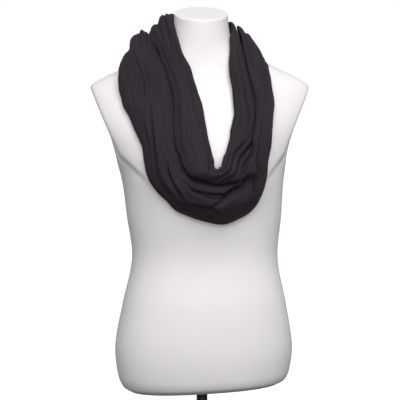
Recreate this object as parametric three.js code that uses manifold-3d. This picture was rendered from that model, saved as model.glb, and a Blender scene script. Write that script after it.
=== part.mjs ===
// Infinity scarf wound twice round the neck of a limbless dress form on a short stand.
// Millimetres, +Z up. The form faces -Y, and the origin is the middle of the base's underside.
import * as THREE from "three";
import { mergeVertices } from "three/addons/utils/BufferGeometryUtils.js";
import Module from "manifold-3d";

const wasm = await Module();
wasm.setup();

// Stand
const BASE_DIAMETER = 350;
const BASE_THICKNESS = 8;
const STAND_CHAMFER = 3;
const POLE_DIAMETER = 20;
const SOCKET_DIAMETER = 36;
const SOCKET_TOP = 26;
const HIP_HEIGHT = 150;
const ROUND_SIDES = 48;

// Dress form, measured upwards from the flat cut under the hips
const NECK_TOP = 672;
const NECK_TOP_Y = -13;
const NECK_TOP_TILT = THREE.MathUtils.degToRad(15);
const ARM_CUT_TIP = { x: 198.5, height: 545 };
const ARM_CUT_SLOPE_IN = 0.43;
const ARM_CUT_BEND = 470;
const ARM_CUT_FOOT = 330;
const ARMPIT_HALF_WIDTH = 150;
const ARMPIT_BEND_STEPS = 6;
// The hip cut climbs this much for each millimetre to the right, fading out at the widest hip
const HIP_SLANT = 0.05;
const HIP_SLANT_REACH = 77;
const FORM_SIDES = 44;
const RINGS_PER_ROW = 2;
const FORM_SECTIONS = [
  { height: 0, halfWidth: 134, front: 84, back: 86, centre: 0, squareness: 2.4, sway: 4 },
  { height: 8, halfWidth: 147, front: 96, back: 99, centre: 0, squareness: 2.4, sway: 4 },
  { height: 30, halfWidth: 156, front: 102, back: 107, centre: 0, squareness: 2.4, sway: 3 },
  { height: 77, halfWidth: 160, front: 104, back: 110, centre: 0, squareness: 2.4, sway: 3 },
  { height: 150, halfWidth: 148, front: 99, back: 98, centre: 0, squareness: 2.4, sway: 4 },
  { height: 234, halfWidth: 131.5, front: 88, back: 82, centre: 0, squareness: 2.4, sway: 5 },
  { height: 310, halfWidth: 139, front: 99, back: 91, centre: 0, squareness: 2.4, sway: 3.5 },
  { height: 385, halfWidth: 147.5, front: 116, back: 101, centre: 0, squareness: 2.4, sway: 0.5 },
  { height: 425, halfWidth: 165, front: 113, back: 104, centre: 1, squareness: 2.3, sway: -3.5 },
  { height: 480, halfWidth: 194, front: 97, back: 102, centre: 5, squareness: 2.2, sway: -5 },
  { height: 525, halfWidth: 204, front: 77, back: 87, centre: 8, squareness: 2.1, sway: -4 },
  { height: 548, halfWidth: 191, front: 67, back: 75, centre: 8, squareness: 2, sway: -3 },
  { height: 576, halfWidth: 135, front: 58, back: 62, centre: 5, squareness: 2, sway: -2.5 },
  { height: 606, halfWidth: 72, front: 53, back: 54, centre: 0, squareness: 2, sway: -2.5 },
  { height: 640, halfWidth: 51, front: 51, back: 51, centre: -7, squareness: 2, sway: -2.5 },
  { height: 710, halfWidth: 48, front: 49, back: 49, centre: -20, squareness: 2, sway: -2.5 },
];

// Cloth
const CLOTH_WALL = 2;
const SEAM_GAP = 0.3;
const FORM_GAP = 1.8;
const EDGE_ROLL_RADIUS = 2.5;
const EDGE_ROLL_LEG = 7;
const CROWN_FULLNESS = 2.4;
// Shares of a section's steps that go round its inner roll, over its face and round its outer roll
const ROLL_SHARE = 0.15;

// Smooth value of one column of a table at a height, by cubic steps with averaged slopes
function columnAt(rows, key, height) {
  const last = rows.length - 1;
  const clamped = THREE.MathUtils.clamp(height, rows[0].height, rows[last].height);
  let i = rows.findIndex((row) => row.height >= clamped);
  i = Math.max(i, 1);
  const slope = (k) => {
    const a = rows[Math.max(k - 1, 0)];
    const b = rows[Math.min(k + 1, last)];
    return (b[key] - a[key]) / (b.height - a.height);
  };
  const low = rows[i - 1];
  const high = rows[i];
  const span = high.height - low.height;
  const t = (clamped - low.height) / span;
  const h00 = (1 + 2 * t) * (1 - t) ** 2;
  const h10 = t * (1 - t) ** 2;
  const h01 = t * t * (3 - 2 * t);
  const h11 = t * t * (t - 1);
  return h00 * low[key] + h10 * span * slope(i - 1) + h01 * high[key] + h11 * span * slope(i);
}

// The form's cross-section at a height: its half widths, depths, middle and sideways sway
function formSection(height) {
  const at = (key) => columnAt(FORM_SECTIONS, key, height);
  return {
    halfWidth: at("halfWidth"),
    front: at("front"),
    back: at("back"),
    centre: at("centre"),
    squareness: at("squareness"),
    sway: at("sway"),
  };
}

// How far a point is outside the form, in millimetres, negative inside
function formDistance(point) {
  const value = (x, y, z) => {
    const s = formSection(z);
    const depth = y < s.centre ? s.front : s.back;
    const n = s.squareness;
    return (Math.abs((x - s.sway) / s.halfWidth) ** n + Math.abs((y - s.centre) / depth) ** n) ** (1 / n) - 1;
  };
  const step = 0.5;
  const { x, y, z } = point;
  const here = value(x, y, z);
  const gradient = new THREE.Vector3(
    value(x + step, y, z) - value(x - step, y, z),
    value(x, y + step, z) - value(x, y - step, z),
    value(x, y, z + step) - value(x, y, z - step),
  ).divideScalar(2 * step);
  const steepness = Math.max(gradient.length(), 1e-6);
  return { distance: here / steepness, outward: gradient.divideScalar(steepness) };
}

// Moves a point straight out of the form until it clears the surface by a gap
function clearOfForm(point, gap) {
  const tries = 6;
  const moved = point.clone();
  for (let i = 0; i < tries; i++) {
    const { distance, outward } = formDistance(moved);
    if (distance >= gap) break;
    moved.addScaledVector(outward, gap - distance);
  }
  return moved;
}

// A point on the front of the form, lifted forward off its surface
function front(x, height, lift) {
  const s = formSection(height);
  const across = Math.min(Math.abs(x - s.sway) / s.halfWidth, 1);
  const depth = s.front * (1 - across ** s.squareness) ** (1 / s.squareness);
  return new THREE.Vector3(x, s.centre - depth - lift, height);
}

// A point round the neck: azimuth 0 is the front, 90 the form's left, 180 the back
function round(azimuth, reach, height) {
  const a = THREE.MathUtils.degToRad(azimuth);
  return new THREE.Vector3(reach * Math.sin(a), -reach * Math.cos(a), height);
}

// The scarf's sections in order along the ring: where its inner edge, crown and outer edge lie.
// The inner drape runs from the left of the neck down to the point of the V and up to the right.
const INNER_DRAPE = [
  { inner: round(-90, 57, 667), crown: round(-90, 73, 663), outer: round(-90, 95, 636.5) },
  { inner: round(-44, 68, 626), crown: round(-52, 82, 620), outer: round(-62, 92, 606) },
  { inner: front(-25, 574, 14), crown: front(-43, 565, 26), outer: front(-60, 554, 20) },
  { inner: front(-12, 531, 15), crown: front(-33, 520, 26), outer: front(-55, 504, 18) },
  { inner: front(-1, 478, 17), crown: front(-26, 472, 29), outer: front(-53, 460, 19) },
  { inner: front(8, 428, 24), crown: front(-19, 428, 36), outer: front(-47, 424, 26) },
  { inner: front(12, 408, 29), crown: front(-8, 406, 46), outer: front(-33, 397, 35) },
  { inner: front(16, 403, 30), crown: front(5, 398, 50), outer: front(-9, 387, 42) },
  { inner: front(21, 406, 28), crown: front(22, 397, 49), outer: front(22, 382, 42) },
  { inner: front(27, 417, 20), crown: front(40, 405, 40), outer: front(52, 387, 36) },
  { inner: front(35, 438, 13), crown: front(49, 424, 27), outer: front(63, 403, 18) },
  { inner: front(43, 462, 11), crown: front(64, 452, 20), outer: front(88, 434, 10) },
  { inner: front(49, 492, 12), crown: front(73, 486, 20), outer: front(98, 474, 9) },
  { inner: front(48, 534, 13), crown: front(71, 530, 21), outer: front(97, 520, 9) },
  { inner: front(45, 578, 13), crown: front(65, 576, 22), outer: front(86, 562, 8) },
  { inner: round(52, 62, 624), crown: round(56, 73, 626), outer: round(61, 80, 599) },
  { inner: round(92, 53, 644), crown: round(92, 57, 653), outer: round(92, 63, 628) },
];
// The crossing's under stretch runs behind the neck from there, out to the left shoulder.
const BACK_UNDER = [
  { inner: round(128, 54, 646), crown: round(128, 65, 652), outer: round(128, 78, 606) },
  { inner: round(158, 54, 644), crown: round(158, 76, 648), outer: round(158, 90, 590) },
  { inner: round(185, 58, 636), crown: round(185, 82, 626), outer: round(185, 103, 566) },
  { inner: round(212, 74, 618), crown: round(212, 104, 604), outer: round(212, 126, 552) },
  { inner: round(243, 98, 606), crown: round(243, 122, 616), outer: round(243, 148, 560) },
];
// The outer drape runs from the left shoulder, low across the chest, up to the right shoulder.
const OUTER_DRAPE = [
  { inner: round(-90, 92, 612), crown: round(-90, 112, 637), outer: round(-90, 148, 574) },
  { inner: round(-57, 77, 591), crown: round(-67, 122, 597), outer: round(-72, 157, 556) },
  { inner: front(-44, 552, 9), crown: front(-100, 547, 21), outer: front(-146, 523, 11) },
  { inner: front(-40, 501, 9), crown: front(-91, 498, 19), outer: front(-131, 490, 11) },
  { inner: front(-38, 454, 9), crown: front(-81, 446, 19), outer: front(-112, 438, 11) },
  { inner: front(-33, 418, 10), crown: front(-65, 400, 21), outer: front(-98, 380, 11) },
  { inner: front(-18, 402, 10), crown: front(-38, 378, 31), outer: front(-67, 343, 8) },
  { inner: front(-4, 396, 10), crown: front(2, 366, 40), outer: front(-20, 314, 8) },
  { inner: front(22, 394, 10), crown: front(38, 366, 43), outer: front(38, 306, 8) },
  { inner: front(53, 390, 11), crown: front(71, 376, 41), outer: front(83, 331, 8) },
  { inner: front(70, 403, 24), crown: front(89, 398, 38), outer: front(102, 371, 11) },
  { inner: front(80, 440, 31), crown: front(96, 426, 38), outer: front(107, 405, 18) },
  { inner: front(86, 484, 29), crown: front(103, 472, 36), outer: front(115, 453, 15) },
  { inner: front(87, 530, 26), crown: front(106, 520, 34), outer: front(121, 506, 14) },
  { inner: front(77, 576, 28), crown: front(101, 567, 33), outer: front(117, 555, 14) },
  { inner: round(58, 82, 626), crown: round(65, 101, 613), outer: front(113, 585, 14) },
  { inner: round(95, 67, 648), crown: round(95, 86, 629), outer: round(94, 111, 590) },
];
// The crossing's over stretch runs behind the neck from there, in to the left of the neck.
const BACK_OVER = [
  { inner: round(128, 98, 606), crown: round(128, 118, 608), outer: round(128, 139, 560) },
  { inner: round(158, 100, 618), crown: round(158, 120, 606), outer: round(158, 130, 550) },
  { inner: round(185, 94, 642), crown: round(185, 114, 644), outer: round(185, 124, 588) },
  { inner: round(212, 72, 656), crown: round(212, 98, 664), outer: round(212, 114, 614) },
  { inner: round(243, 56, 658), crown: round(243, 75, 662), outer: round(243, 100, 626) },
];
const RING = [...INNER_DRAPE, ...BACK_UNDER, ...OUTER_DRAPE, ...BACK_OVER];

// Large folds: soft troughs along the ring. from and to count sections, start, end and width are
// shares of the face from its inner to its outer edge. The two that start below 0.2 lie where the
// inner drape's outer edge presses the outer drape down.
const FOLDS = [
  { from: 1, to: 7, start: 0.5, end: 0.6, width: 0.12, depth: 4 },
  { from: 7, to: 14, start: 0.32, end: 0.36, width: 0.11, depth: 4 },
  { from: 8, to: 13, start: 0.66, end: 0.7, width: 0.11, depth: 4 },
  { from: 15, to: 23, start: 0.38, end: 0.4, width: 0.12, depth: 5 },
  { from: 16, to: 23, start: 0.7, end: 0.66, width: 0.12, depth: 5 },
  { from: 21, to: 29, start: 0.16, end: 0.16, width: 0.12, depth: 6 },
  { from: 22, to: 31, start: 0.72, end: 0.55, width: 0.09, depth: 5 },
  { from: 27, to: 33, start: 0.18, end: 0.22, width: 0.12, depth: 13 },
  { from: 27, to: 32, start: 0.28, end: 0.42, width: 0.08, depth: 9 },
  { from: 23, to: 31, start: 0.5, end: 0.34, width: 0.09, depth: 4 },
  { from: 26, to: 33, start: 0.88, end: 0.74, width: 0.07, depth: 5 },
  { from: 29, to: 37, start: 0.5, end: 0.5, width: 0.1, depth: 5 },
  { from: 37, to: 43, start: 0.36, end: 0.4, width: 0.12, depth: 5 },
  { from: 37, to: 44, start: 0.68, end: 0.7, width: 0.12, depth: 5 },
];
// Share of a fold's length over which it deepens from nothing at each end, and of the face's width
// over which folds fade out towards its rolled edges
const FOLD_FADE = 0.25;
const FOLD_EDGE_FADE = 0.12;

const rail = (edge) =>
  new THREE.CatmullRomCurve3(
    RING.map((section) => section[edge]),
    true,
    "catmullrom",
    0.5,
  );
const RAILS = { inner: rail("inner"), crown: rail("crown"), outer: rail("outer") };

// Depth of the folds at a share of the ring and of the face
function foldDepth(along, across) {
  let depth = 0;
  for (const fold of FOLDS) {
    const t = (along * RING.length - fold.from) / (fold.to - fold.from);
    if (t <= 0 || t >= 1) continue;
    const fade = THREE.MathUtils.smoothstep(Math.min(t, 1 - t), 0, FOLD_FADE);
    const middle = THREE.MathUtils.lerp(fold.start, fold.end, t);
    const off = (across - middle) / fold.width;
    depth += fold.depth * fade * Math.exp(-off * off);
  }
  const edgeFade = THREE.MathUtils.smoothstep(Math.min(across, 1 - across), 0, FOLD_EDGE_FADE);
  return depth * edgeFade;
}

// A point of the cloth's middle surface. along is the share of the ring, and across runs from the
// inner roll's free end, over the face, to the outer roll's free end.
function clothPoint(along, across) {
  const share = ((along % 1) + 1) % 1;
  const inner = RAILS.inner.getPoint(share);
  const crown = RAILS.crown.getPoint(share);
  const outer = RAILS.outer.getPoint(share);
  const chord = outer.clone().sub(inner);
  const width = chord.length();
  const side = chord.clone().divideScalar(width);
  const rise = crown.clone().sub(inner.clone().add(outer).multiplyScalar(0.5));
  const lean = rise.dot(side);
  const out = rise.addScaledVector(side, -lean);
  const height = out.length();
  out.divideScalar(height);
  const edgeSlope = Math.atan2(2 * CROWN_FULLNESS * height, width);
  const place = (sideways, outwards) =>
    inner.clone().addScaledVector(side, sideways).addScaledVector(out, outwards);

  const roll = (travel) => {
    const turn = Math.PI - edgeSlope;
    const arc = EDGE_ROLL_RADIUS * turn;
    const length = travel * (arc + EDGE_ROLL_LEG);
    const heading = Math.PI + edgeSlope + Math.min(length, arc) / EDGE_ROLL_RADIUS;
    const middle = [EDGE_ROLL_RADIUS * Math.sin(edgeSlope), -EDGE_ROLL_RADIUS * Math.cos(edgeSlope)];
    return [
      middle[0] + EDGE_ROLL_RADIUS * Math.sin(heading) + Math.max(length - arc, 0),
      middle[1] - EDGE_ROLL_RADIUS * Math.cos(heading),
    ];
  };
  if (across < ROLL_SHARE) {
    const [s, d] = roll(1 - across / ROLL_SHARE);
    return place(s, d);
  }
  if (across > 1 - ROLL_SHARE) {
    const [s, d] = roll(1 - (1 - across) / ROLL_SHARE);
    return place(width - s, d);
  }
  const w = (across - ROLL_SHARE) / (1 - 2 * ROLL_SHARE);
  const bulge = 1 - Math.abs(2 * w - 1) ** CROWN_FULLNESS;
  return place(w * width + lean * bulge, height * bulge - foldDepth(share, w));
}

// One stretch of the ring as a closed wall of cloth
function clothWall(from, to, steps, sectionSteps) {
  const outside = [];
  const inside = [];
  const delta = 1e-4;
  const lift = CLOTH_WALL / 2;
  for (let i = 0; i <= steps; i++) {
    const along = THREE.MathUtils.lerp(from, to, i / steps);
    const seam = RAILS.crown.getTangent(((along % 1) + 1) % 1).multiplyScalar(SEAM_GAP);
    for (let j = 0; j <= sectionSteps; j++) {
      const across = j / sectionSteps;
      let point = clothPoint(along, across);
      const lengthwise = clothPoint(along + delta, across).sub(clothPoint(along - delta, across));
      const before = Math.max(across - delta * 10, 0);
      const after = Math.min(across + delta * 10, 1);
      const crosswise = clothPoint(along, after).sub(clothPoint(along, before));
      const normal = crosswise.cross(lengthwise).normalize();
      point = clearOfForm(point, lift + FORM_GAP);
      if (i === 0) point.add(seam);
      if (i === steps) point.sub(seam);
      outside.push(point.clone().addScaledVector(normal, lift));
      inside.push(point.clone().addScaledVector(normal, -lift));
    }
  }
  const columns = sectionSteps + 1;
  const layer = outside.length;
  const triangles = [];
  const quad = (a, b, c, d) => triangles.push(a, b, c, a, c, d);
  for (let i = 0; i < steps; i++) {
    for (let j = 0; j < sectionSteps; j++) {
      const a = i * columns + j;
      quad(a, a + 1, a + columns + 1, a + columns);
      quad(layer + a, layer + a + columns, layer + a + columns + 1, layer + a + 1);
    }
    const first = i * columns;
    const final = first + sectionSteps;
    quad(first, first + columns, layer + first + columns, layer + first);
    quad(final, layer + final, layer + final + columns, final + columns);
  }
  const end = steps * columns;
  for (let j = 0; j < sectionSteps; j++) {
    quad(j, layer + j, layer + j + 1, j + 1);
    quad(end + j, end + j + 1, layer + end + j + 1, layer + end + j);
  }
  const geometry = new THREE.BufferGeometry().setFromPoints([...outside, ...inside]);
  geometry.setIndex(triangles);
  return geometry;
}

// A closed geometry as a solid that can be cut, and back again
function toSolid(geometry) {
  const bare = geometry.clone();
  bare.deleteAttribute("normal");
  bare.deleteAttribute("uv");
  const merged = mergeVertices(bare, 1e-3);
  return new wasm.Manifold(
    new wasm.Mesh({
      numProp: 3,
      vertProperties: merged.attributes.position.array,
      triVerts: new Uint32Array(merged.index.array),
    }),
  );
}
function toGeometry(solid) {
  const mesh = solid.getMesh();
  const geometry = new THREE.BufferGeometry();
  geometry.setAttribute("position", new THREE.BufferAttribute(mesh.vertProperties, 3));
  geometry.setIndex(new THREE.BufferAttribute(mesh.triVerts, 1));
  return geometry;
}

// Everything on the far side of a plane, as a large block
function blockBeyond(point, normal) {
  const size = 1200;
  const block = new THREE.BoxGeometry(size, size, size);
  block.translate(0, 0, size / 2);
  const turn = new THREE.Quaternion().setFromUnitVectors(new THREE.Vector3(0, 0, 1), normal);
  block.applyQuaternion(turn);
  block.translate(point.x, point.y, point.z);
  return toSolid(block);
}

// What is cut away at one arm: all outside a leaning plane that bends upright at the armpit
function armCutter(side) {
  const reach = 400;
  const planeX = (height) => ARM_CUT_TIP.x - ARM_CUT_SLOPE_IN * (ARM_CUT_TIP.height - height);
  const corner = ARM_CUT_BEND - (planeX(ARM_CUT_BEND) - ARMPIT_HALF_WIDTH) / ARM_CUT_SLOPE_IN;
  const profile = new THREE.Shape();
  profile.moveTo(planeX(NECK_TOP), NECK_TOP);
  profile.lineTo(planeX(ARM_CUT_BEND), ARM_CUT_BEND);
  profile.quadraticCurveTo(ARMPIT_HALF_WIDTH, corner, ARMPIT_HALF_WIDTH, 2 * corner - ARM_CUT_BEND);
  profile.lineTo(ARMPIT_HALF_WIDTH, ARM_CUT_FOOT);
  profile.lineTo(reach, ARM_CUT_FOOT);
  profile.lineTo(reach, NECK_TOP);
  const cutter = new THREE.ExtrudeGeometry(profile, {
    depth: reach,
    bevelEnabled: false,
    curveSegments: ARMPIT_BEND_STEPS,
  });
  cutter.translate(0, 0, -reach / 2);
  cutter.rotateX(Math.PI / 2);
  const solid = toSolid(cutter);
  return side < 0 ? solid.mirror([1, 0, 0]) : solid;
}

// Moves each point of the form sideways by the sway at its height
function swayed(geometry) {
  const position = geometry.attributes.position;
  for (let i = 0; i < position.count; i++) {
    position.setX(i, position.getX(i) + columnAt(FORM_SECTIONS, "sway", position.getZ(i)));
  }
  return geometry;
}

// The torso and neck as rings from the hips up, with the neck and both arms cut off flat
function formBody() {
  const points = [];
  const rows = FORM_SECTIONS.length - 1;
  const rings = rows * RINGS_PER_ROW;
  for (let i = 0; i <= rings; i++) {
    const row = Math.min(Math.floor(i / RINGS_PER_ROW), rows - 1);
    const t = i / RINGS_PER_ROW - row;
    const height = THREE.MathUtils.lerp(FORM_SECTIONS[row].height, FORM_SECTIONS[row + 1].height, t);
    const s = formSection(height);
    for (let k = 0; k < FORM_SIDES; k++) {
      const a = (2 * Math.PI * k) / FORM_SIDES;
      const power = 2 / s.squareness;
      const x = s.halfWidth * Math.sign(Math.cos(a)) * Math.abs(Math.cos(a)) ** power;
      const depth = Math.sin(a) < 0 ? s.front : s.back;
      const y = s.centre + depth * Math.sign(Math.sin(a)) * Math.abs(Math.sin(a)) ** power;
      const slant = HIP_SLANT * x * Math.max(1 - height / HIP_SLANT_REACH, 0);
      points.push(new THREE.Vector3(x, y, height + slant));
    }
  }
  const low = points.push(new THREE.Vector3(0, 0, FORM_SECTIONS[0].height)) - 1;
  const high = points.push(new THREE.Vector3(0, FORM_SECTIONS[rows].centre, FORM_SECTIONS[rows].height)) - 1;
  const triangles = [];
  for (let k = 0; k < FORM_SIDES; k++) {
    const next = (k + 1) % FORM_SIDES;
    triangles.push(low, next, k);
    const top = rings * FORM_SIDES;
    triangles.push(high, top + k, top + next);
    for (let i = 0; i < rings; i++) {
      const a = i * FORM_SIDES;
      const b = a + FORM_SIDES;
      triangles.push(a + k, a + next, b + next, a + k, b + next, b + k);
    }
  }
  const loft = new THREE.BufferGeometry().setFromPoints(points);
  loft.setIndex(triangles);

  let body = toSolid(loft);
  const neckPoint = new THREE.Vector3(0, NECK_TOP_Y, NECK_TOP);
  const neckNormal = new THREE.Vector3(0, -Math.sin(NECK_TOP_TILT), Math.cos(NECK_TOP_TILT));
  body = body.subtract(blockBeyond(neckPoint, neckNormal));
  for (const side of [-1, 1]) body = body.subtract(armCutter(side));
  return swayed(toGeometry(body));
}

// A solid turned about the Z axis from its outline of radius and height
function turned(outline) {
  const profile = outline.map(([radius, height]) => new THREE.Vector2(radius, height));
  return new THREE.LatheGeometry(profile, ROUND_SIDES).rotateX(Math.PI / 2);
}

// A round plate or collar on the axis, with a chamfer round its top edge
function disc(diameter, bottom, top) {
  const r = diameter / 2;
  return turned([
    [0, bottom],
    [r, bottom],
    [r, top - STAND_CHAMFER],
    [r - STAND_CHAMFER, top],
    [0, top],
  ]);
}

// The rod between the socket and the flat underside of the hips
function standPole() {
  const r = POLE_DIAMETER / 2;
  const bottom = SOCKET_TOP + SEAM_GAP;
  const top = HIP_HEIGHT - SEAM_GAP - HIP_SLANT * r;
  return turned([
    [0, bottom],
    [r, bottom],
    [r, top],
    [0, top],
  ]);
}

const clothMaterial = new THREE.MeshStandardMaterial({ color: 0x352f36, roughness: 0.9, metalness: 0 });
const formMaterial = new THREE.MeshStandardMaterial({ color: 0xf2f0ef, roughness: 0.55, metalness: 0 });
const standMaterial = new THREE.MeshStandardMaterial({ color: 0x161614, roughness: 0.4, metalness: 0.6 });

function named(name, geometry, material) {
  const mesh = new THREE.Mesh(geometry, material.clone());
  mesh.name = name;
  return mesh;
}

const dressed = new THREE.Group();
dressed.position.z = HIP_HEIGHT;
dressed.add(named("form_body", formBody(), formMaterial));

// Each stretch of the ring with the sections it runs between and its steps along and across
const STRETCHES = [
  { name: "scarf_front_inner", sections: INNER_DRAPE.length - 1, steps: 48, sectionSteps: 20 },
  { name: "scarf_back_under", sections: BACK_UNDER.length + 1, steps: 20, sectionSteps: 20 },
  { name: "scarf_front_outer", sections: OUTER_DRAPE.length - 1, steps: 48, sectionSteps: 24 },
  { name: "scarf_back_over", sections: BACK_OVER.length + 1, steps: 20, sectionSteps: 20 },
];
let started = 0;
for (const { name, sections, steps, sectionSteps } of STRETCHES) {
  const from = started / RING.length;
  const to = (started + sections) / RING.length;
  dressed.add(named(name, clothWall(from, to, steps, sectionSteps), clothMaterial));
  started += sections;
}

const stand = new THREE.Group();
stand.add(named("stand_base", disc(BASE_DIAMETER, 0, BASE_THICKNESS), standMaterial));
stand.add(named("stand_socket", disc(SOCKET_DIAMETER, BASE_THICKNESS + SEAM_GAP, SOCKET_TOP), standMaterial));
stand.add(named("stand_pole", standPole(), standMaterial));

const part = new THREE.Group();
part.add(dressed, stand);
export default part;
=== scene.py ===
"""Looks of an infinity scarf wound twice round the neck of a limbless dress form on a short stand.

Shapes are worked out in millimetres above the hip cut, and put into the frame in metres.
"""
import math

import bpy
import numpy as np
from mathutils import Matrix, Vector


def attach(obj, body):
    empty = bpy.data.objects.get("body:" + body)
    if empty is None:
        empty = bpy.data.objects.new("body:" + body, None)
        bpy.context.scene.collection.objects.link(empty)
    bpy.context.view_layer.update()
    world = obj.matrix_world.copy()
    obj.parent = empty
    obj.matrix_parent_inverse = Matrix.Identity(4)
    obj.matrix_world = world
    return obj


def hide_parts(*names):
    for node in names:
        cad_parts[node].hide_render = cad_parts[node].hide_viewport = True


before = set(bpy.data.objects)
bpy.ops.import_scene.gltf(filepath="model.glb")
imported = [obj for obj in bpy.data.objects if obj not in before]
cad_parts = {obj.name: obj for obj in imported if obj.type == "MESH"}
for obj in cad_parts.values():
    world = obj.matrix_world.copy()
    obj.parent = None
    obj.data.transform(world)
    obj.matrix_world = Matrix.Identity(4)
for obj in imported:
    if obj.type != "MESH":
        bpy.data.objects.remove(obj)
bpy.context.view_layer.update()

MM = 0.001
# Least length that a direction is divided by
TINY = 1e-9

# Camera, at the photo's angle: places in metres, sensor in millimetres
CAMERA_AIM = Vector((-0.0036, 0, 0.488))
CAMERA_AZIMUTH = math.radians(-4)
CAMERA_ELEVATION = math.radians(5)
CAMERA_DISTANCE = 3.2
VIEW_WIDTH = 0.72
SENSOR_WIDTH = 36

# Dress form: its hip cut above the floor, and its tilted neck top above the hip cut
HIP_HEIGHT = 150
NECK_TOP = 672
NECK_TOP_Y = -13
NECK_TOP_TILT = math.radians(15)
# Each arm is cut off by a plane that leans in downwards, and curves into the armpit below its bend
ARM_CUT_TIP = (198.5, 545)
ARM_CUT_SLOPE_IN = 0.43
ARM_CUT_BEND = 470
ARM_CUT_FOOT = 330
ARMPIT_HALF_WIDTH = 150
# The crease under each arm stump, by distance out: its height, and how deep the torso lies back below it
ARMPIT_CREASE = np.array([(90, 368, 0), (105, 387, 4), (123, 406, 9), (145, 428, 13), (162, 468, 0)])
ARMPIT_CREASE_SOFT = 13
ARMPIT_CREASE_REACH = 45
# The sideways slope of the hip cut, and the height at which it has faded out
HIP_SLANT = 0.05
HIP_SLANT_REACH = 77
# Rows of height, half width, front depth, back depth, middle, squareness and sideways shift
FORM_COLUMNS = ("height", "half_width", "front", "back", "centre", "squareness", "shift")
FORM_ROWS = np.array([
    (0, 134, 84, 86, 0, 2.4, 4),
    (8, 147, 96, 99, 0, 2.4, 4),
    (30, 156, 102, 107, 0, 2.4, 3),
    (77, 160, 104, 110, 0, 2.4, 3),
    (150, 148, 99, 98, 0, 2.4, 4),
    (234, 131.5, 88, 82, 0, 2.4, 5),
    (310, 139, 99, 91, 0, 2.4, 3.5),
    (385, 147.5, 116, 101, 0, 2.4, 0.5),
    (425, 165, 113, 104, 1, 2.3, -3.5),
    (480, 194, 97, 102, 5, 2.2, -5),
    (525, 204, 77, 87, 8, 2.1, -4),
    (548, 191, 67, 75, 8, 2, -3),
    (576, 135, 58, 62, 5, 2, -2.5),
    (606, 72, 53, 54, 0, 2, -2.5),
    (640, 51, 51, 51, -7, 2, -2.5),
    (710, 48, 49, 49, -20, 2, -2.5),
])
FORM = dict(zip(FORM_COLUMNS, FORM_ROWS.T))

# Cloth: its wall, its gap to the form, and the roll under each edge as a bend and a straight leg
CLOTH_WALL = 1.4
FORM_GAP = 1.5
EDGE_ROLL_RADIUS = 1.9
EDGE_ROLL_LEG = 7
# Power of the face's fall from its crown to its edges
CROWN_FULLNESS = 2.4
# Share of the points across the cloth that each roll takes
ROLL_SHARE = 0.12
STEPS_PER_SECTION = 24
SECTION_STEPS = 116
# Points less than this share of the form's size outside it are tested, and moved out in a few passes
CLEAR_REACH = 0.25
CLEAR_PASSES = 6
# Step over which the way out of the form is measured
SLOPE_STEP = 0.5

# How finely the form is drawn: spans of height with their numbers of rings
FORM_SIDES = 240
FORM_RING_SPANS = [(0, 30, 14), (30, 330, 60), (330, 600, 150)]
NECK_RINGS = 24
# Passes that draw the neck's rings up to its tilted top
NECK_PASSES = 4
NECK_RIM_RINGS = 5
NECK_RIM_RADIUS = 2.5
ARM_RIM_RADIUS = 6
# Rings that close the form's two ends, by share of the end's size
CAP_SHARES = [0.97, 0.7, 0.35]

# Stand pieces: name, profile of radius and height above the floor, and the node each stands for
STAND_SIDES = 96
STAND_PIECES = [
    ("foot_plate", [(172, 0), (175, 1.5), (175, 5), (174.2, 6.8), (172, 8), (60, 8)], "stand_base"),
    ("pole_socket", [(16.5, 8.3), (18, 9.5), (18, 23.5), (17.4, 25.4), (15.5, 26)], "stand_socket"),
    ("pole", [(9.6, 26.3), (10, 26.8), (10, 149.2), (9.6, 149.7)], "stand_pole"),
]

# Looks: linear colours and greys by stops of a ramp, textures over metres, bumps of strength and depth.
# First the cloth's, with its lengthwise streaks, patches, nap, ribs and lint
CLOTH_COLOURS = [(0.3, (0.0192, 0.015, 0.02)), (0.72, (0.0345, 0.0267, 0.0355))]
CLOTH_ROUGHNESS = [(0.3, 0.84), (0.7, 0.96)]
CLOTH_GLOSS = 0.12
CLOTH_SHEEN = 0.05
CLOTH_SHEEN_ROUGHNESS = 0.45
CLOTH_SHEEN_TINT = (0.75, 0.68, 0.76, 1)
STREAK_STRETCH = (14, 130, 1)
STREAKS = {"Scale": 1, "Detail": 4, "Roughness": 0.6}
PATCHES = {"Scale": 9, "Detail": 3}
PATCH_SHARE = 0.5
NAP = {"Scale": 700, "Detail": 2}
RIBS = {"Scale": 260, "Distortion": 0.6, "Detail": 1}
LINT = {"Scale": 90, "Randomness": 1}
LINT_AMOUNT = [(0.02, 0.35), (0.06, 0)]
LINT_COLOUR = (0.16, 0.14, 0.15, 1)
STREAK_BUMP = (0.3, 0.0018)
RIB_BUMP = (0.25, 0.0003)
NAP_BUMP = (0.25, 0.0004)
# The form's, with mottling and an eggshell texture
FORM_COLOURS = [(0.3, (0.8, 0.77, 0.777)), (0.7, (0.85, 0.818, 0.826))]
FORM_ROUGHNESS = [(0.3, 0.42), (0.7, 0.52)]
FORM_GLOSS = 0.4
MOTTLE = {"Scale": 7, "Detail": 4, "Roughness": 0.55}
EGGSHELL = {"Scale": 420, "Detail": 2}
EGGSHELL_BUMP = (0.08, 0.0004)
# The stand's, with dust and an orange-peel texture
ENAMEL_COLOURS = [(0.35, (0.006, 0.006, 0.006)), (0.75, (0.016, 0.015, 0.015))]
ENAMEL_ROUGHNESS = [(0.3, 0.3), (0.75, 0.5)]
DUST = {"Scale": 18, "Detail": 5}
PEEL = {"Scale": 260, "Detail": 2}
PEEL_BUMP = (0.1, 0.0003)

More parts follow.
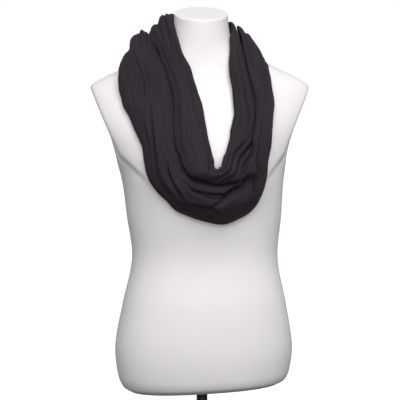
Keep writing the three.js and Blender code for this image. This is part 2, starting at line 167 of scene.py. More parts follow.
# Studio, in metres: sky levels by share of height, and soft lights with place, size and power in watts
SWEEP_RADIUS = 40
SWEEP_SEGMENTS = 64
SWEEP_RINGS = 32
SWEEP_COLOUR = (0, 0, 0)
SWEEP_GLOW = 1
FLOOR_SIDES = 96
FLOOR_COLOUR = (0.9, 0.9, 0.9)
FLOOR_GLOW = 0.7
STUDIO_ROUGHNESS = 0.9
CAMERA_CLIP = 3 * SWEEP_RADIUS
SKY = [(0, 0.08), (0.45, 0.24), (0.6, 0.4), (1, 0.68)]
LIGHT_AIM = Vector((0, 0, 0.62))
LIGHTS = [
    ("key", (0.1, -1.35, 1.6), (1.5, 0.9), 21.5),
    ("fill", (0, -1.4, 0.56), (1.2, 0.4), 4),
]


def hermite(x, xs, ys):
    """Smooth value at x of a column ys over rising xs, by cubic steps with averaged slopes."""
    x = np.clip(x, xs[0], xs[-1])
    last = len(xs) - 1
    before = np.maximum(np.arange(len(xs)) - 1, 0)
    after = np.minimum(np.arange(len(xs)) + 1, last)
    slopes = (ys[after] - ys[before]) / (xs[after] - xs[before])
    i = np.clip(np.searchsorted(xs, x), 1, last)
    span = xs[i] - xs[i - 1]
    t = (x - xs[i - 1]) / span
    low = (1 + 2 * t) * (1 - t) ** 2 * ys[i - 1] + t * (1 - t) ** 2 * span * slopes[i - 1]
    high = t * t * (3 - 2 * t) * ys[i] + t * t * (t - 1) * span * slopes[i]
    return low + high


def form_section(height):
    """The form's cross-section at each height, as a dict of columns."""
    return {key: hermite(height, FORM["height"], FORM[key]) for key in FORM_COLUMNS[1:]}


def form_value(p):
    """How far points lie outside the form, as a share of its size there, and below 0 inside it."""
    s = form_section(p[..., 2])
    depth = np.where(p[..., 1] < s["centre"], s["front"], s["back"])
    n = s["squareness"]
    across = np.abs((p[..., 0] - s["shift"]) / s["half_width"]) ** n
    return (across + np.abs((p[..., 1] - s["centre"]) / depth) ** n) ** (1 / n) - 1


def clear_of_form(points, gap):
    """Moves points straight out of the form until they clear its surface by a gap."""
    moved = points.copy()
    for _ in range(CLEAR_PASSES):
        near = np.argwhere(form_value(moved) < CLEAR_REACH)
        p = moved[tuple(near.T)]
        rises = [
            form_value(p + SLOPE_STEP * axis) - form_value(p - SLOPE_STEP * axis) for axis in np.eye(3)
        ]
        slope = np.stack(rises, axis=-1) / (2 * SLOPE_STEP)
        steepness = np.maximum(np.linalg.norm(slope, axis=-1), TINY)
        short = np.maximum(gap - form_value(p) / steepness, 0)
        moved[tuple(near.T)] = p + slope / steepness[:, None] * short[:, None]
    return moved


def front(x, height, lift):
    """A point on the front of the form, lifted forward off its surface."""
    s = form_section(np.float64(height))
    across = min(abs(x - s["shift"]) / s["half_width"], 1)
    depth = s["front"] * (1 - across ** s["squareness"]) ** (1 / s["squareness"])
    return (x, s["centre"] - depth - lift, height)


def around(azimuth, reach, height):
    """A point round the neck: azimuth 0 is the front, 90 the viewer's right, 180 the back."""
    a = math.radians(azimuth)
    return (reach * math.sin(a), -reach * math.cos(a), height)


# The ring's sections in order: where its inner edge, crown and outer edge lie
INNER_DRAPE = [
    (around(-90, 57, 667), around(-90, 73, 663), around(-90, 97, 632.8)),
    (around(-44, 68, 626), around(-52, 82, 620), around(-62, 92, 606)),
    (front(-25, 574, 14), front(-43, 565, 26), front(-60, 554, 20)),
    (front(-12, 531, 15), front(-33, 520, 26), front(-55, 504, 18)),
    (front(-1, 478, 17), front(-26, 472, 29), front(-53, 460, 19)),
    (front(8, 428, 24), front(-19, 428, 36), front(-47, 424, 26)),
    (front(12, 408, 29), front(-8, 406, 46), front(-33, 397, 35)),
    (front(16, 403, 30), front(5, 398, 50), front(-9, 387, 42)),
    (front(21, 406, 28), front(22, 397, 49), front(22, 382, 42)),
    (front(27, 417, 20), front(40, 405, 40), front(52, 387, 36)),
    (front(35, 438, 13), front(49, 424, 27), front(66, 402, 16)),
    (front(43, 462, 11), front(64, 452, 20), front(88, 434, 10)),
    (front(49, 492, 12), front(73, 486, 20), front(98, 474, 9)),
    (front(48, 534, 13), front(71, 530, 21), front(97, 520, 9)),
    (front(45, 578, 13), front(65, 576, 22), front(86, 562, 8)),
    (around(52, 62, 624), around(56, 73, 626), around(61, 80, 599)),
    (around(92, 53, 644), around(92, 57, 653), around(92, 63, 628)),
]
BACK_UNDER = [
    (around(128, 54, 646), around(128, 65, 652), around(128, 78, 606)),
    (around(158, 54, 644), around(158, 76, 648), around(158, 90, 590)),
    (around(185, 58, 636), around(185, 82, 626), around(185, 103, 566)),
    (around(212, 74, 618), around(212, 104, 604), around(212, 126, 552)),
    (around(243, 98, 606), around(243, 122, 616), around(243, 148, 560)),
]
OUTER_DRAPE = [
    (around(-90, 92, 612), around(-90, 112, 637), around(-90, 148, 574)),
    (around(-57, 77, 591), around(-67, 122, 597), around(-72, 157, 556)),
    (front(-44, 552, 9), front(-100, 547, 21), front(-146, 523, 11)),
    (front(-40, 501, 9), front(-91, 498, 19), front(-131, 490, 11)),
    (front(-38, 454, 9), front(-81, 446, 19), front(-112, 438, 11)),
    (front(-33, 418, 10), front(-65, 400, 21), front(-98, 380, 11)),
    (front(-18, 402, 10), front(-38, 378, 31), front(-67, 343, 8)),
    (front(-4, 396, 10), front(2, 366, 40), front(-20, 314, 8)),
    (front(22, 394, 10), front(38, 366, 43), front(38, 306, 8)),
    (front(53, 390, 11), front(71, 376, 41), front(83, 331, 8)),
    (front(66, 404, 24), front(89, 398, 38), front(102, 371, 11)),
    (front(80, 440, 31), front(96, 426, 38), front(107, 405, 18)),
    (front(86, 484, 29), front(103, 472, 36), front(115, 453, 15)),
    (front(87, 530, 26), front(106, 520, 34), front(121, 506, 14)),
    (front(77, 576, 28), front(101, 567, 33), front(117, 555, 14)),
    (around(58, 82, 626), around(65, 101, 613), front(113, 585, 14)),
    (around(95, 67, 648), around(95, 86, 629), around(94, 111, 590)),
]
BACK_OVER = [
    (around(128, 98, 606), around(128, 118, 608), around(128, 139, 560)),
    (around(158, 100, 618), around(158, 120, 606), around(158, 130, 550)),
    (around(185, 94, 642), around(185, 114, 644), around(185, 124, 588)),
    (around(212, 72, 656), around(212, 98, 664), around(212, 114, 614)),
    (around(243, 56, 658), around(243, 75, 662), around(243, 100, 626)),
]
RING = np.array([*INNER_DRAPE, *BACK_UNDER, *OUTER_DRAPE, *BACK_OVER], float)
SECTIONS = len(RING)
# Each stretch with the section where it starts and the one where it ends
STRETCHES = {
    "scarf_front_inner": (0, 16),
    "scarf_back_under": (16, 22),
    "scarf_front_outer": (22, 38),
    "scarf_back_over": (38, 44),
}

# Folds along the ring, by section number, and by share of the face from its inner to its outer edge.
# Width and depth are in millimetres. A positive lip raises a ridge beside the trough, towards the
# outer edge, and a negative one towards the inner edge, as a share of the depth.
FOLD_COLUMNS = ("first", "last", "start", "middle", "end", "width", "depth", "lip")
FOLDS = [
    # Inner drape, over the left shoulder and down to its turn
    (43, 45.3, 0.3, 0.35, 0.4, 2.8, 4, 0.5),
    (42.8, 45, 0.72, 0.7, 0.68, 2.4, 4, 0.5),
    (3.2, 6.3, 0.7, 0.62, 0.5, 2, 1.8, 0.4),
    (0.3, 3.4, 0.22, 0.18, 0.13, 1.6, 2.8, 0.5),
    (0.8, 4.4, 0.36, 0.31, 0.22, 2.2, 1.3, 0.4),
    (4.6, 7.4, 0.24, 0.3, 0.95, 1.8, 7, 0.5),
    # Inner drape, the pleats that turn up to the right of the neck
    (6.8, 10.4, 0.5, 0.24, 0.2, 1.8, 8, 0.3),
    (6.6, 11.4, 1.35, 0.46, 0.7, 2.4, 17, 0.4),
    (7.2, 11.6, 1.3, 0.7, 0.95, 2.4, 17, 0.4),
    (10.5, 15.5, 0.5, 0.46, 0.42, 3, 2.6, 0.4),
    (11, 15, 0.22, 0.2, 0.2, 2.5, 1.8, 0.3),
    (11.5, 14.6, 0.72, 0.74, 0.7, 3, 2, -0.4),
    # Behind the neck, the stretch beneath
    (14.5, 22.8, 0.3, 0.34, 0.3, 4, 4, 0.5),
    (16, 23.5, 0.6, 0.55, 0.45, 4, 4.5, -0.5),
    (17, 23, 0.8, 0.82, 0.85, 3.5, 4, 0.4),
    # Outer drape, left shoulder down to its turn, pressed flat under the inner drape's edge
    (21.5, 28.5, 0.1, 0.12, 0.12, 9, 4, 0),
    (21, 23.2, 0.34, 0.33, 0.36, 2.8, 3.5, 0.5),
    (21.2, 23, 0.82, 0.78, 0.76, 2.4, 4, -0.5),
    (22.4, 24.7, 0.7, 0.56, 0.65, 1.4, 5, 0.5),
    (24.4, 28.9, 0.5, 0.7, 0.95, 1.7, 6.5, -0.6),
    (25, 26.6, 0.72, 0.76, 0.82, 1.4, 3.4, -0.5),
    (26.5, 28.7, 0.43, 0.64, 0.88, 1.9, 7.5, -0.6),
    (26.3, 28.5, 0.7, 0.84, 0.93, 1.8, 6, -0.5),
    (22.6, 25.5, 0.84, 0.82, 0.84, 2.4, 1.2, -0.3),
    (24.5, 27.5, 0.3, 0.35, 0.3, 2, 1.4, 0.4),
    # Outer drape, the turn at the bottom, pressed deeper under the inner drape's edge
    (26.5, 32.8, 0.16, 0.19, 0.16, 9, 18, 0),
    (27.2, 32, 0.24, 0.38, 0.36, 5, 18, 0),
    (29.5, 31.9, 0.6, 0.56, 0.46, 7.5, 32, 0),
    (28, 30.4, 0.54, 0.58, 0.54, 2.8, 10, -0.2),
    (27.8, 30, 0.4, 0.64, 0.58, 1.8, 5, 0.3),
    (29, 30.7, 0.9, 0.62, 0.52, 2.6, 12, 0.7),
    (28, 30, 0.92, 0.81, 0.9, 1.8, 8, -0.6),
    (28, 29.7, 0.94, 0.92, 0.94, 5, 5, 0),
    # Outer drape, up to the right shoulder
    (30.8, 33, 0.84, 0.53, 0.12, 2.3, 13, 0.6),
    (32.3, 34.2, 0.3, 0.25, 0.3, 1.8, 6, 0.5),
    (33.7, 35.1, 0.3, 0.28, 0.28, 2, 3, 0.4),
    (33, 37.6, 0.55, 0.5, 0.5, 3, 2.2, 0.3),
    (30.4, 33.4, 0.5, 0.62, 0.62, 3, 3, -0.4),
    # Behind the neck, the stretch on top
    (36.5, 43, 0.3, 0.36, 0.42, 4, 4.5, 0.5),
    (37, 44.6, 0.62, 0.66, 0.62, 4, 5, -0.5),
    (38.5, 44, 0.84, 0.8, 0.84, 3.5, 4, 0.3),
]
# Share of a fold's length that fades it in or out, and share of the face that fades folds at an edge
FOLD_FADE = 0.3
FOLD_EDGE_FADE = 0.05
# Power of a trough's fall from its middle: 2 is a round gutter, 1 a sharp crease
CREASE_SHARPNESS = 1.4
# Where a fold's ridge stands beside its trough, and its spread on either side, in trough widths
LIP_PLACE = 1.7
LIP_NEAR = 1.2
LIP_FAR = 3
# Small folds between the main ones, drawn at random from a fixed seed
SMALL_FOLDS = 100
SMALL_FOLD_SEED = 11
SMALL_FOLD_START = (0.06, 0.94)
SMALL_FOLD_LENGTH = (1.2, 5)
SMALL_FOLD_DRIFT = 0.12
SMALL_FOLD_WIDTH = (1.2, 3)
SMALL_FOLD_DEPTH = (0.3, 1.2)
SMALL_FOLD_LIPS = (-0.7, -0.4, 0.4, 0.7)
# Uneven swell and crinkle of the face: cells along and across the ring, and height in millimetres
SWELLS = [(26, 3, 1.8), (70, 12, 0.6), (120, 30, 0.35)]
# Uneven wander of both edges: cells along the ring and reach in millimetres
EDGE_WAVES = 90
EDGE_WAVER = 2.2
EDGE_SEED = 5


def smoothstep(x):
    """Soft step from 0 to 1 as x goes from 0 to 1."""
    x = np.clip(x, 0, 1)
    return x * x * (3 - 2 * x)


def rails(section):
    """Points of the inner, crown and outer rails at each section number of the closed ring."""
    i = np.floor(section).astype(int)
    t = (section - i)[:, None, None]
    a, b, c, d = (RING[(i + k) % SECTIONS] for k in (-1, 0, 1, 2))
    start = 0.5 * (c - a)
    end = 0.5 * (d - b)
    curve = (2 * b - 2 * c + start + end) * t**3 + (3 * c - 3 * b - 2 * start - end) * t**2
    return curve + start * t + b


def small_folds():
    """Rows of the fold table for the small folds, at random places all round the ring."""
    draw = np.random.default_rng(SMALL_FOLD_SEED)
    first = draw.uniform(0, SECTIONS, SMALL_FOLDS)
    length = draw.uniform(*SMALL_FOLD_LENGTH, SMALL_FOLDS)
    start = draw.uniform(*SMALL_FOLD_START, SMALL_FOLDS)
    middle = start + draw.normal(0, SMALL_FOLD_DRIFT, SMALL_FOLDS)
    end = start + draw.normal(0, SMALL_FOLD_DRIFT, SMALL_FOLDS)
    width = draw.uniform(*SMALL_FOLD_WIDTH, SMALL_FOLDS)
    depth = draw.uniform(*SMALL_FOLD_DEPTH, SMALL_FOLDS)
    lip = draw.choice(SMALL_FOLD_LIPS, SMALL_FOLDS)
    return list(zip(first, first + length, start, middle, end, width, depth, lip))


def swell(section, share, cells, seed):
    """Smooth uneven heights from -1 to 1 over a grid of cells that closes round the ring."""
    along, across = cells
    knots = np.random.default_rng(seed).uniform(-1, 1, (along, across + 2))
    u = section * along / SECTIONS
    v = share * across
    i, j = np.floor(u).astype(int), np.floor(v).astype(int)
    s, t = smoothstep(u - i)[:, None], smoothstep(v - j)[None, :]
    i, j = i[:, None], j[None, :]
    near = knots[i % along, j] * (1 - t) + knots[i % along, j + 1] * t
    far = knots[(i + 1) % along, j] * (1 - t) + knots[(i + 1) % along, j + 1] * t
    return near * (1 - s) + far * s


def fold_relief(section, share, width):
    """Height of the folds over the plain face, in millimetres, on a grid of sections and shares."""
    relief = np.zeros((len(section), len(share)))
    for fold in FOLDS + small_folds():
        f = dict(zip(FOLD_COLUMNS, fold))
        t = ((section - f["first"]) % SECTIONS) / (f["last"] - f["first"])
        on = t < 1
        t = t[on]
        fade = (smoothstep(t / FOLD_FADE) * smoothstep((1 - t) / FOLD_FADE))[:, None]
        straight = f["start"] + (f["end"] - f["start"]) * t
        middle = straight + 4 * t * (1 - t) * (f["middle"] - (f["start"] + f["end"]) / 2)
        lip_side = np.sign(f["lip"] or 1)
        off = (share[None, :] - middle[:, None]) * width[on] / f["width"] * lip_side
        trough = np.exp(-(np.abs(off) ** CREASE_SHARPNESS))
        ridge = np.where(off < LIP_PLACE, LIP_NEAR, LIP_FAR)
        lip = abs(f["lip"]) * np.exp(-(((off - LIP_PLACE) / ridge) ** 2))
        relief[on] -= f["depth"] * fade * (trough - lip)
    for seed, (along, across, height) in enumerate(SWELLS):
        relief += height * swell(section, share, (along, across), seed)
    edge = smoothstep(np.minimum(share, 1 - share) / FOLD_EDGE_FADE)
    return relief * edge[None, :]


def section_axes(section):
    """Each section's inner edge, its ways across and out, its width, and its crown's lean and height."""
    inner, crown, outer = np.moveaxis(rails(section), 1, 0)
    chord = outer - inner
    width = np.linalg.norm(chord, axis=1, keepdims=True)
    side = chord / width
    rise = crown - (inner + outer) / 2
    lean = (rise * side).sum(axis=1, keepdims=True)
    out = rise - side * lean
    height = np.linalg.norm(out, axis=1, keepdims=True)
    return inner, side, out / height, width, lean, height


def edge_roll(travel, edge_slope):
    """How far the roll under an edge lies in from the edge and out from it, by share of its length."""
    arc = EDGE_ROLL_RADIUS * (np.pi - edge_slope)
    length = travel * (arc + EDGE_ROLL_LEG)
    heading = np.pi + edge_slope + np.minimum(length, arc) / EDGE_ROLL_RADIUS
    bend = EDGE_ROLL_RADIUS * (np.sin(edge_slope) + np.sin(heading))
    inwards = bend + np.maximum(length - arc, 0)
    outwards = -EDGE_ROLL_RADIUS * (np.cos(edge_slope) + np.cos(heading))
    return inwards, outwards


def cloth_grid():
    """The cloth's middle surface all round the ring: rows along it, columns from roll to roll."""
    section = np.arange(SECTIONS * STEPS_PER_SECTION) / STEPS_PER_SECTION
    inner, side, out, width, lean, height = section_axes(section)
    across = np.linspace(0, 1, SECTION_STEPS + 1)
    share = np.clip((across - ROLL_SHARE) / (1 - 2 * ROLL_SHARE), 0, 1)
    bulge = 1 - np.abs(2 * share - 1) ** CROWN_FULLNESS
    sideways = share * width + lean * bulge
    outwards = height * bulge + fold_relief(section, share, width)

    edge_slope = np.arctan2(2 * CROWN_FULLNESS * height, width)
    inner_roll = across < ROLL_SHARE
    outer_roll = across > 1 - ROLL_SHARE
    inwards, outwards[:, inner_roll] = edge_roll(1 - across[inner_roll] / ROLL_SHARE, edge_slope)
    sideways[:, inner_roll] = inwards
    inwards, outwards[:, outer_roll] = edge_roll(1 - (1 - across[outer_roll]) / ROLL_SHARE, edge_slope)
    sideways[:, outer_roll] = width - inwards

    waver = EDGE_WAVER * swell(section, np.array([0, 1]), (EDGE_WAVES, 1), EDGE_SEED)
    sideways += waver[:, :1] * (1 - share) + waver[:, 1:] * share
    grid = inner[:, None] + side[:, None] * sideways[..., None] + out[:, None] * outwards[..., None]
    return clear_of_form(grid, CLOTH_WALL / 2 + FORM_GAP)


def normals_of(grid):
    """Outward unit normals of a grid that closes on itself along its rows."""
    along = np.roll(grid, -1, axis=0) - np.roll(grid, 1, axis=0)
    across = np.gradient(grid, axis=1)
    normal = np.cross(across, along)
    return normal / np.maximum(np.linalg.norm(normal, axis=-1, keepdims=True), TINY)


def to_frame(points):
    """Points in millimetres above the hip cut, as metres in the frame."""
    return (points.reshape(-1, 3) + (0, 0, HIP_HEIGHT)) * MM


def add_mesh(name, points, faces):
    """A smooth-shaded piece in the scene, from points in metres and faces of point numbers."""
    mesh = bpy.data.meshes.new(name)
    mesh.from_pydata(points.tolist(), [], faces)
    mesh.validate()
    mesh.polygons.foreach_set("use_smooth", [True] * len(mesh.polygons))
    mesh.update()
    piece = bpy.data.objects.new(name, mesh)
    bpy.context.scene.collection.objects.link(piece)
    return piece


def sharpen_rim(mesh, rim, layer):
    """Keeps the rim of both layers sharp, so that no shading shows where two stretches meet."""
    edges = np.empty((len(mesh.edges), 2), np.int32)
    mesh.edges.foreach_get("vertices", edges.ravel())
    on_rim = np.isin(edges % layer, rim).all(axis=1)
    in_one_layer = edges[:, 0] // layer == edges[:, 1] // layer
    mesh.edges.foreach_set("use_edge_sharp", on_rim & in_one_layer)


def lay_cloth_map(mesh, middle):
    """Maps both layers of a stretch in metres along and across the cloth."""
    shape = middle.shape[:2]
    along = np.linalg.norm(np.diff(middle, axis=0), axis=-1).mean(axis=1).cumsum() * MM
    across = np.linalg.norm(np.diff(middle, axis=1), axis=-1).mean(axis=0).cumsum() * MM
    u = np.broadcast_to(np.concatenate([[0], along])[:, None], shape).ravel()
    v = np.broadcast_to(np.concatenate([[0], across])[None, :], shape).ravel()
    uv = np.tile(np.stack([u, v], axis=-1), (2, 1))
    corners = np.empty(len(mesh.loops), np.int32)
    mesh.loops.foreach_get("vertex_index", corners)
    cloth_map = mesh.uv_layers.new(name="Cloth")
    cloth_map.data.foreach_set("uv", uv[corners].ravel())


def cloth_stretch(name, middle, normal):
    """One stretch of the ring as a closed thin shell about its middle surface."""
    lift = normal * CLOTH_WALL / 2
    count, columns = middle.shape[:2]
    layer = count * columns
    index = np.arange(layer).reshape(count, columns)
    a, b, c, d = index[:-1, :-1], index[:-1, 1:], index[1:, 1:], index[1:, :-1]
    top = np.stack([a, b, c, d], axis=-1).reshape(-1, 4)
    # Once round the rim, back to the first point
    rim = np.concatenate([index[0, ::-1], index[1:, 0], index[-1, 1:], index[-2::-1, -1]])
    side = np.stack([rim[:-1], rim[1:], rim[1:] + layer, rim[:-1] + layer], axis=-1)
    faces = np.concatenate([top, top[:, ::-1] + layer, side])
    points = np.concatenate([to_frame(middle + lift), to_frame(middle - lift)])
    piece = add_mesh(name, points, faces.tolist())
    sharpen_rim(piece.data, rim, layer)
    lay_cloth_map(piece.data, middle)
    return piece


def plane_height(y):
    """Height of the neck's tilted top face at a depth y."""
    return NECK_TOP + (y - NECK_TOP_Y) * math.tan(NECK_TOP_TILT)


def arm_reach(z):
    """How far out the arms are cut off at a height, and past all of the torso below the cuts."""
    tip_x, tip_height = ARM_CUT_TIP
    bend_x = tip_x - ARM_CUT_SLOPE_IN * (tip_height - ARM_CUT_BEND)
    drop = 2 * (bend_x - ARMPIT_HALF_WIDTH) / ARM_CUT_SLOPE_IN
    below = np.clip((ARM_CUT_BEND - z) / drop, 0, 1)
    curve = bend_x + (ARMPIT_HALF_WIDTH - bend_x) * below * (2 - below)
    plane = tip_x - ARM_CUT_SLOPE_IN * (tip_height - z)
    reach = np.where(z > ARM_CUT_BEND, plane, curve)
    return np.where(z > ARM_CUT_FOOT, reach, 2 * tip_x)


def armpit_recess(size, height):
    """How far the front of the torso lies back below the crease under each arm stump."""
    out, crease, depth = ARMPIT_CREASE.T
    below = np.interp(size, out, crease) - height
    step = smoothstep(below / ARMPIT_CREASE_SOFT) * np.exp(-np.maximum(below, 0) / ARMPIT_CREASE_REACH)
    return np.interp(size, out, depth, left=0) * step


def form_ring(height, angle):
    """Points of the form's outline at each height and angle, with the arms cut off."""
    s = form_section(height)
    power = 2 / s["squareness"]
    cos, sin = np.cos(angle), np.sin(angle)
    x = s["half_width"] * np.sign(cos) * np.abs(cos) ** power
    depth = np.where(sin < 0, s["front"], s["back"])
    y = s["centre"] + depth * np.sign(sin) * np.abs(sin) ** power
    y = np.where(sin < 0, y + armpit_recess(np.abs(x), height), y)
    size, reach = np.abs(x), arm_reach(height)
    blend = np.maximum(ARM_RIM_RADIUS - np.abs(size - reach), 0) / ARM_RIM_RADIUS
    x = np.sign(x) * (np.minimum(size, reach) - ARM_RIM_RADIUS * blend**2 / 4) + s["shift"]
    slant = HIP_SLANT * x * np.maximum(1 - height / HIP_SLANT_REACH, 0)
    return np.stack([x, y, height + slant], axis=-1)


def neck_rings(angle):
    """Rings of the neck, drawn up to just under its tilted top face."""
    neck_foot = FORM_RING_SPANS[-1][1]
    share = np.linspace(0, 1, NECK_RINGS)[:, None]
    height = neck_foot + share * (NECK_TOP - neck_foot) + 0 * angle
    for _ in range(NECK_PASSES):
        neck = form_ring(height, angle)
        height = neck_foot + share * (plane_height(neck[..., 1]) - NECK_RIM_RADIUS - neck_foot)
    return neck


def rounded_rim(rim):
    """Rings that round the neck's last ring over into its top face."""
    inward = rim.mean(axis=0) - rim
    inward /= np.linalg.norm(inward, axis=-1, keepdims=True)
    turn = np.linspace(0, np.pi / 2, NECK_RIM_RINGS)[1:, None, None]
    up = np.array([0, -math.sin(NECK_TOP_TILT), math.cos(NECK_TOP_TILT)])
    return rim + NECK_RIM_RADIUS * (inward * (1 - np.cos(turn)) + up * np.sin(turn))


def ring_faces(rings, sides):
    """Point numbers of a stack of rings, those next to them, and the faces between the rings."""
    index = np.arange(rings * sides).reshape(rings, sides)
    ahead = np.roll(index, -1, axis=1)
    faces = np.stack([index[:-1], ahead[:-1], ahead[1:], index[1:]], axis=-1).reshape(-1, 4)
    return index, ahead, faces.tolist()


def form_piece():
    """The dress form as a fine smooth loft, closed by its hip cut and its tilted neck top."""
    angle = np.arange(FORM_SIDES)[None, :] * 2 * np.pi / FORM_SIDES
    spans = [np.linspace(low, high, count, endpoint=False) for low, high, count in FORM_RING_SPANS]
    heights = np.concatenate(spans)[:, None]
    body = form_ring(np.broadcast_to(heights, (len(heights), FORM_SIDES)), angle)
    neck = neck_rings(angle)
    rim = rounded_rim(neck[-1])
    hip_middle = body[0].mean(axis=0)
    top_middle = rim[-1].mean(axis=0)
    shrink = np.array(CAP_SHARES)[:, None, None]
    hip_cap = hip_middle + (body[0] - hip_middle) * shrink[::-1]
    top_cap = top_middle + (rim[-1] - top_middle) * shrink
    grid = np.concatenate([hip_cap, body, neck, rim, top_cap])
    index, ahead, faces = ring_faces(len(grid), FORM_SIDES)
    hip_point = index.size
    top_point = hip_point + 1
    faces += [(hip_point, b, a) for a, b in zip(index[0].tolist(), ahead[0].tolist())]
    faces += [(top_point, a, b) for a, b in zip(index[-1].tolist(), ahead[-1].tolist())]
    points = np.concatenate([grid.reshape(-1, 3), [hip_middle, top_middle]])
    return add_mesh("form", to_frame(points), faces)


def turned(name, profile):
    """A round piece about the stand's axis, from a profile of radius and height above the floor."""
    angle = np.arange(STAND_SIDES) * 2 * np.pi / STAND_SIDES
    circle = np.stack([np.cos(angle), np.sin(angle)], axis=-1)
    rings = [np.column_stack([r * circle, np.full(STAND_SIDES, h)]) for r, h in profile]
    index, _, faces = ring_faces(len(rings), STAND_SIDES)
    faces += [index[0][::-1].tolist(), index[-1].tolist()]
    return add_mesh(name, np.concatenate(rings) * MM, faces)


def shader(name):
    """A new material with its node tree and its main surface node."""
    material = bpy.data.materials.new(name)
    material.use_nodes = True
    return material, material.node_tree, material.node_tree.nodes["Principled BSDF"]


def set_inputs(tree, made, inputs):
    """Sets a node's inputs, each to a value or to another node's output."""
    for key, value in inputs.items():
        if isinstance(value, bpy.types.NodeSocket):
            tree.links.new(value, made.inputs[key])
        else:
            made.inputs[key].default_value = value


def node(tree, kind, inputs, **settings):
    """A new shader node with its settings and its inputs."""
    made = tree.nodes.new(kind)
    for key, value in settings.items():
        setattr(made, key, value)
    set_inputs(tree, made, inputs)
    return made


def place_in(tree, space):
    """Texture places in a space: UV, Object or Generated."""
    return node(tree, "ShaderNodeTexCoord", {}).outputs[space]


def noise(tree, place, look):
    """Uneven values over texture places, from a look of named inputs."""
    return node(tree, "ShaderNodeTexNoise", {"Vector": place, **look}).outputs["Fac"]


def mix(tree, kind, share, first, second):
    """A mix of two values or colours, by the share of the second."""
    inputs = {"Factor": share, "A": first, "B": second}
    return node(tree, "ShaderNodeMix", inputs, data_type=kind).outputs["Result"]


def ramp(tree, value, stops):
    """A colour ramp over a value, from stops of place and colour."""
    made = node(tree, "ShaderNodeValToRGB", {"Fac": value})
    elements = made.color_ramp.elements
    while len(elements) < len(stops):
        elements.new(0.5)
    for element, (place, colour) in zip(elements, stops):
        element.position = place
        element.color = (*colour, 1)
    return made.outputs["Color"]


def grey_ramp(tree, value, stops):
    """A ramp of greys over a value, from stops of place and level."""
    return ramp(tree, value, [(place, (level, level, level)) for place, level in stops])


def bumped(tree, *layers):
    """A normal bumped by layers of height with their strength and depth, one over the other."""
    below = {}
    for height, (strength, depth) in layers:
        inputs = {"Height": height, "Strength": strength, "Distance": depth, **below}
        below = {"Normal": node(tree, "ShaderNodeBump", inputs).outputs["Normal"]}
    return below["Normal"]


def cloth_material():
    """Matte charcoal jersey with a plum cast: fine ribs, lengthwise crinkle, nap and specks of lint."""
    material, tree, surface = shader("charcoal jersey")
    place = place_in(tree, "UV")
    stretched = node(tree, "ShaderNodeMapping", {"Vector": place, "Scale": STREAK_STRETCH})
    streaks = noise(tree, stretched.outputs["Vector"], STREAKS)
    patches = noise(tree, place, PATCHES)
    nap = noise(tree, place, NAP)
    rows = {"wave_type": "BANDS", "bands_direction": "Y"}
    ribs = node(tree, "ShaderNodeTexWave", {"Vector": place, **RIBS}, **rows).outputs["Fac"]
    specks = node(tree, "ShaderNodeTexVoronoi", {"Vector": place, **LINT}).outputs["Distance"]
    cloth = ramp(tree, mix(tree, "FLOAT", PATCH_SHARE, streaks, patches), CLOTH_COLOURS)
    lint = grey_ramp(tree, specks, LINT_AMOUNT)
    set_inputs(tree, surface, {
        "Base Color": mix(tree, "RGBA", lint, cloth, LINT_COLOUR),
        "Roughness": grey_ramp(tree, nap, CLOTH_ROUGHNESS),
        "Normal": bumped(tree, (streaks, STREAK_BUMP), (ribs, RIB_BUMP), (nap, NAP_BUMP)),
        "Specular IOR Level": CLOTH_GLOSS,
        "Sheen Weight": CLOTH_SHEEN,
        "Sheen Roughness": CLOTH_SHEEN_ROUGHNESS,
        "Sheen Tint": CLOTH_SHEEN_TINT,
    })
    return material


def form_material():
    """White satin moulding: faint mottling, a fine eggshell texture and slightly uneven gloss."""
    material, tree, surface = shader("white satin moulding")
    place = place_in(tree, "Object")
    mottle = noise(tree, place, MOTTLE)
    set_inputs(tree, surface, {
        "Base Color": ramp(tree, mottle, FORM_COLOURS),
        "Roughness": grey_ramp(tree, mottle, FORM_ROUGHNESS),
        "Normal": bumped(tree, (noise(tree, place, EGGSHELL), EGGSHELL_BUMP)),
        "Specular IOR Level": FORM_GLOSS,
    })
    return material


def stand_material():
    """Black enamelled steel with a fine orange-peel texture and a little dust in its gloss."""
    material, tree, surface = shader("black enamel")
    place = place_in(tree, "Object")
    dust = noise(tree, place, DUST)
    set_inputs(tree, surface, {
        "Base Color": ramp(tree, dust, ENAMEL_COLOURS),
        "Roughness": grey_ramp(tree, dust, ENAMEL_ROUGHNESS),
        "Normal": bumped(tree, (noise(tree, place, PEEL), PEEL_BUMP)),
    })
    return material


def studio_material(name, colour, glow):
    """A plain matte studio surface that glows white."""
    material, tree, surface = shader(name)
    set_inputs(tree, surface, {
        "Base Color": (*colour, 1),
        "Roughness": STUDIO_ROUGHNESS,
        "Emission Color": (1, 1, 1, 1),
        "Emission Strength": glow,
    })
    return material


def dress(piece, material, replaced):
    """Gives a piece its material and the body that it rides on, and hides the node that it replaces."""
    piece.data.materials.append(material)
    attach(piece, "root")
    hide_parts(replaced)


def build_scarf():
    """The four stretches of the ring, each a sheet draped over the form."""
    material = cloth_material()
    grid = cloth_grid()
    normal = normals_of(grid)
    for name, (first, last) in STRETCHES.items():
        rows = np.arange(first * STEPS_PER_SECTION, last * STEPS_PER_SECTION + 1) % len(grid)
        piece = cloth_stretch(name.replace("scarf", "cloth"), grid[rows], normal[rows])
        dress(piece, material, name)


def build_form():
    """The dress form in its white shell."""
    dress(form_piece(), form_material(), "form_body")


def build_stand():
    """The pole, its collar and the foot plate, all in one enamel."""
    enamel = stand_material()
    for name, profile, replaced in STAND_PIECES:
        dress(turned(name, profile), enamel, replaced)


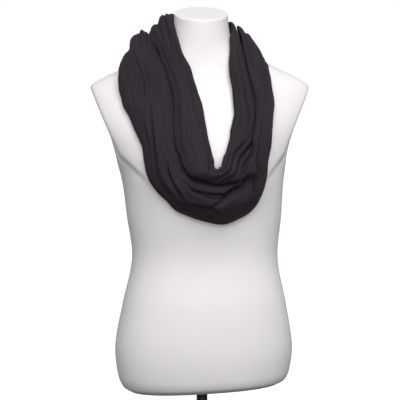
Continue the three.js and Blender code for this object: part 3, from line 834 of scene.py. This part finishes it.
def build_sweep():
    """A white floor and backdrop that only the camera sees."""
    bpy.ops.mesh.primitive_circle_add(vertices=FLOOR_SIDES, radius=SWEEP_RADIUS, fill_type="NGON")
    floor = bpy.context.object
    floor.name = "floor"
    floor.data.materials.append(studio_material("studio floor", FLOOR_COLOUR, FLOOR_GLOW))
    bpy.ops.mesh.primitive_uv_sphere_add(
        segments=SWEEP_SEGMENTS, ring_count=SWEEP_RINGS, radius=SWEEP_RADIUS,
    )
    sweep = bpy.context.object
    sweep.name = "sweep"
    sweep.data.materials.append(studio_material("studio sweep", SWEEP_COLOUR, SWEEP_GLOW))
    sweep.visible_shadow = False
    for stage in (floor, sweep):
        stage.visible_diffuse = False
        stage.visible_glossy = False


def build_sky():
    """Soft light from all round, stronger from above."""
    world = bpy.data.worlds.new("studio")
    world.use_nodes = True
    tree = world.node_tree
    way = node(tree, "ShaderNodeSeparateXYZ", {"Vector": place_in(tree, "Generated")})
    up = node(tree, "ShaderNodeMapRange", {"Value": way.outputs["Z"], "From Min": -1, "From Max": 1})
    glow = grey_ramp(tree, up.outputs["Result"], SKY)
    tree.links.new(glow, tree.nodes["Background"].inputs["Color"])
    bpy.context.scene.world = world


def look_along(thing, spot, way):
    """Puts a lamp or a camera into the scene at a spot, looking along a way."""
    thing.location = spot
    thing.rotation_euler = way.to_track_quat("-Z", "Y").to_euler()
    bpy.context.scene.collection.objects.link(thing)


def build_lights():
    """Soft lights from above and in front."""
    for name, spot, size, power in LIGHTS:
        light = bpy.data.lights.new(name, "AREA")
        light.shape = "RECTANGLE"
        light.size, light.size_y = size
        light.energy = power
        look_along(bpy.data.objects.new(name, light), spot, LIGHT_AIM - Vector(spot))


def build_camera():
    """A camera at the photo's angle, with the photo's width of view."""
    lens = bpy.data.cameras.new("camera")
    lens.sensor_width = SENSOR_WIDTH
    lens.lens = SENSOR_WIDTH * CAMERA_DISTANCE / VIEW_WIDTH
    lens.clip_end = CAMERA_CLIP
    camera = bpy.data.objects.new("camera", lens)
    level = math.cos(CAMERA_ELEVATION)
    right = math.sin(CAMERA_AZIMUTH) * level
    back = -math.cos(CAMERA_AZIMUTH) * level
    way = Vector((right, back, math.sin(CAMERA_ELEVATION)))
    look_along(camera, CAMERA_AIM + CAMERA_DISTANCE * way, -way)
    bpy.context.scene.camera = camera


build_camera()
build_sweep()
build_sky()
build_lights()
build_form()
build_stand()
build_scarf()
bpy.context.scene.view_settings.view_transform = "Standard"

bpy.context.view_layer.update()
